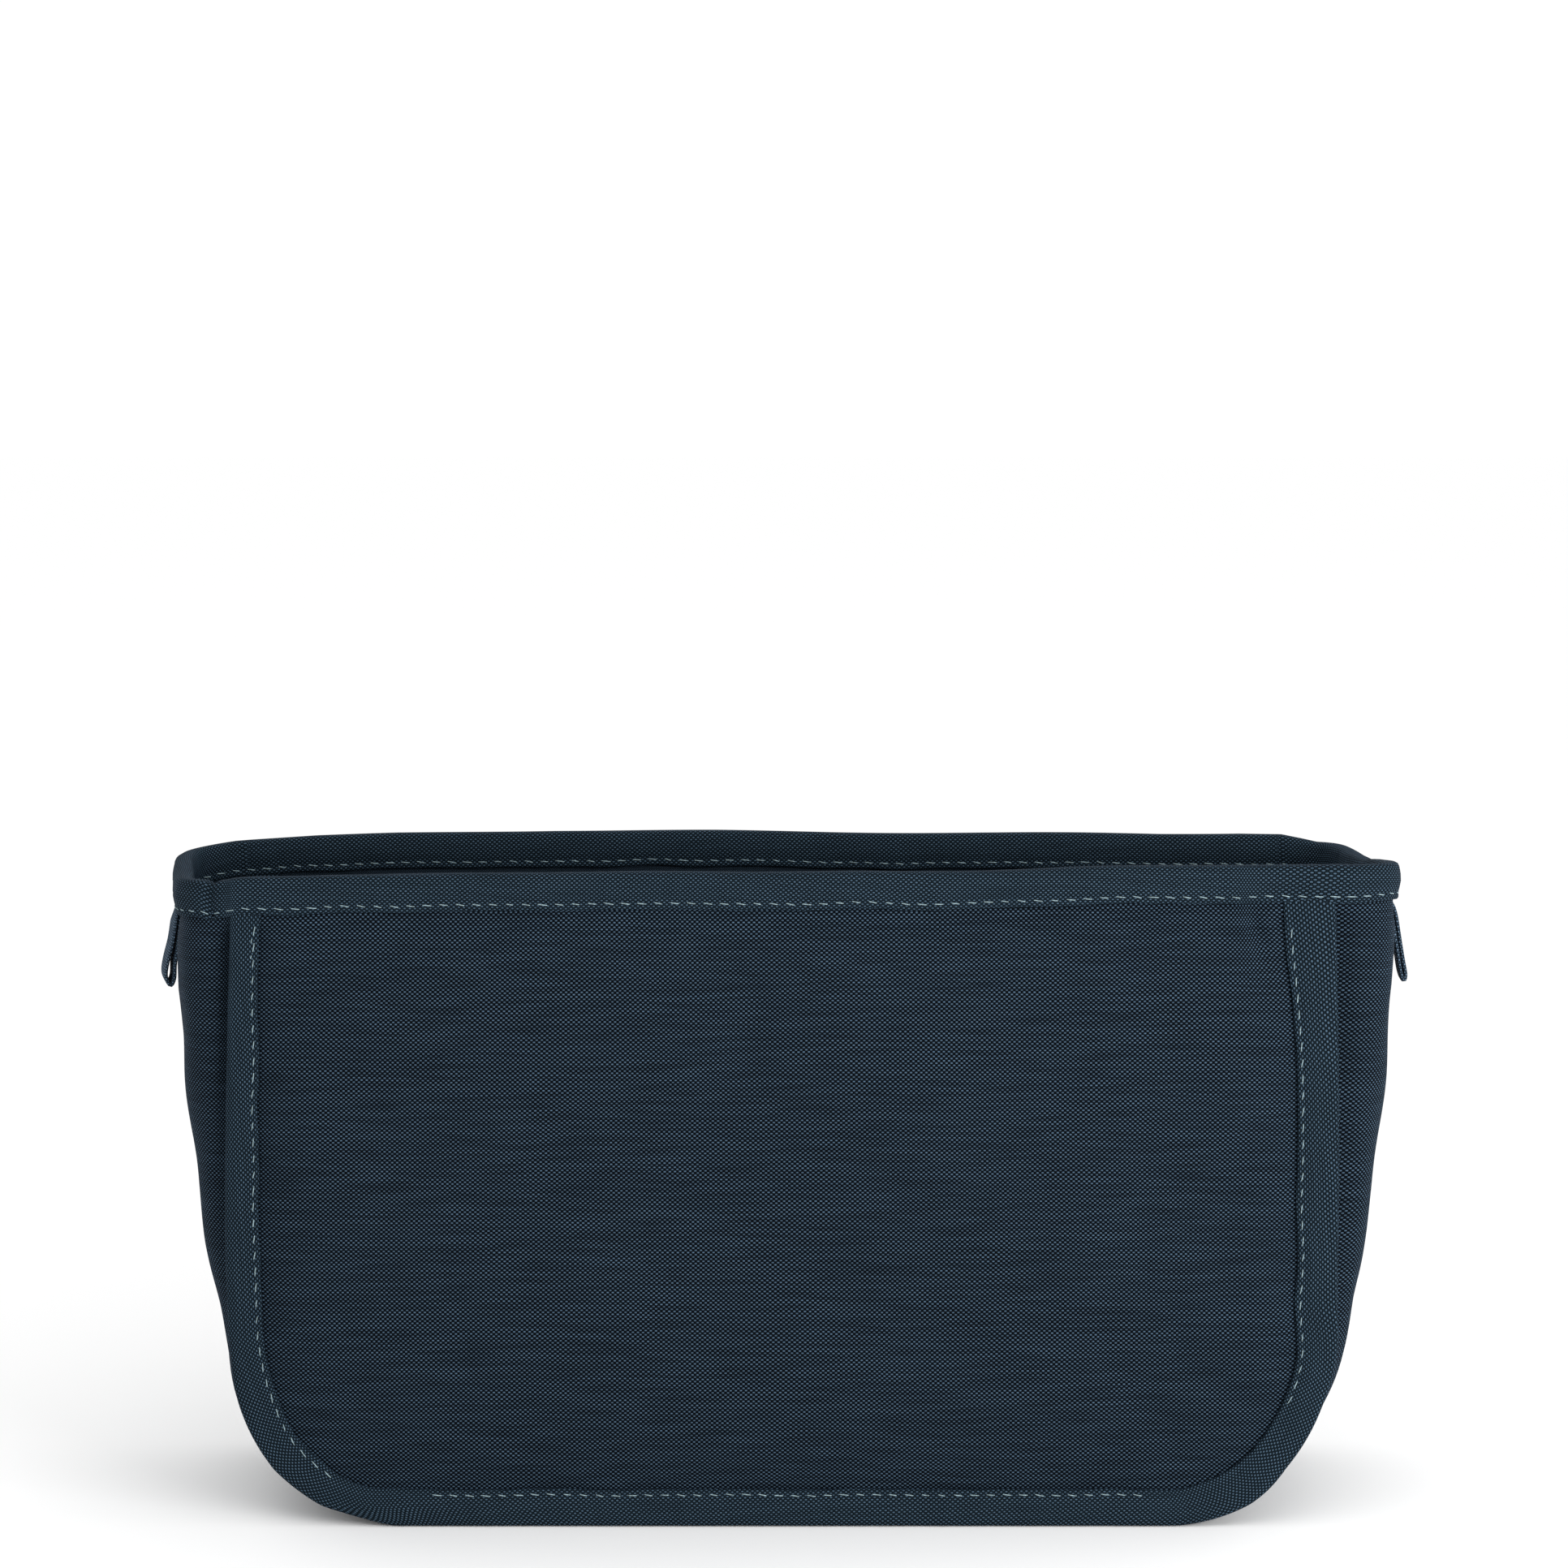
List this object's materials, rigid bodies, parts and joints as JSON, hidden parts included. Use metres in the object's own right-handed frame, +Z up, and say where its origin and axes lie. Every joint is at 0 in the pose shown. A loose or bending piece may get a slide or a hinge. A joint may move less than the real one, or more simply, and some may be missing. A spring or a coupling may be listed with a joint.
{
  "type": "travel document organizer",
  "caption": "Open-top padded fabric organizer pouch with bound seams, inner slip pockets and a hanging loop at each side; its walls squeeze inwards.",
  "frame": {"origin": "middle of the base, at the surface that the pouch stands on", "axes": "+Z up out of the open mouth, +X along the walls to the right, +Y from the front wall to the back wall"},
  "size_m": [0.2878, 0.0782, 0.147],
  "materials": {
    "shell_fabric": "matte heathered plain weave",
    "binding_fabric": "matte heathered plain weave, folded band",
    "lining_fabric": "matte fine plain weave",
    "loop_fabric": "matte folded strap",
    "foam": "matte open foam",
    "board": "matte stiffener sheet",
    "thread": "satin sewing thread"
  },
  "bodies": {
    "base": {"gusset": "shell_fabric", "gusset_lining": "lining_fabric", "gusset_filler_left": "foam", "gusset_filler_right": "foam", "base_board": "board", "rim_binding_left": "binding_fabric", "rim_binding_right": "binding_fabric"},
    "front_wall": {"front_panel": "shell_fabric", "front_foam": "foam", "front_lining": "lining_fabric", "front_seam_binding": "binding_fabric", "front_rim_binding": "binding_fabric", "front_pocket": "lining_fabric", "front_pocket_binding": "binding_fabric"},
    "back_wall": {"back_panel": "shell_fabric", "back_foam": "foam", "back_lining": "lining_fabric", "back_seam_binding": "binding_fabric", "back_rim_binding": "binding_fabric", "back_pocket": "lining_fabric", "back_pocket_binding": "binding_fabric"},
    "left_loop": {"loop_left": "loop_fabric"},
    "right_loop": {"loop_right": "loop_fabric"}
  },
  "joints": [
    {"name": "front_wall_lean", "type": "hinge", "parent": "base", "child": "front_wall", "pos_m": [0, -0.0358, 0.0015], "axis": [-1, 0, 0], "range_deg": [-2, 8.5], "stiffness_Nm_per_rad": 0.5, "deforming": ["gusset", "gusset_lining", "gusset_filler_left", "gusset_filler_right", "rim_binding_left", "rim_binding_right"]},
    {"name": "back_wall_lean", "type": "hinge", "parent": "base", "child": "back_wall", "pos_m": [0, 0.0358, 0.0015], "axis": [1, 0, 0], "range_deg": [-2, 8.5], "stiffness_Nm_per_rad": 0.5, "deforming": ["gusset", "gusset_lining", "gusset_filler_left", "gusset_filler_right", "rim_binding_left", "rim_binding_right"]},
    {"name": "left_loop_swing", "type": "hinge", "parent": "base", "child": "left_loop", "pos_m": [-0.1405, 0, 0.1387], "axis": [0, 1, 0], "range_deg": [-4, 115]},
    {"name": "right_loop_swing", "type": "hinge", "parent": "base", "child": "right_loop", "pos_m": [0.1405, 0, 0.1387], "axis": [0, -1, 0], "range_deg": [-4, 115]}
  ]
}
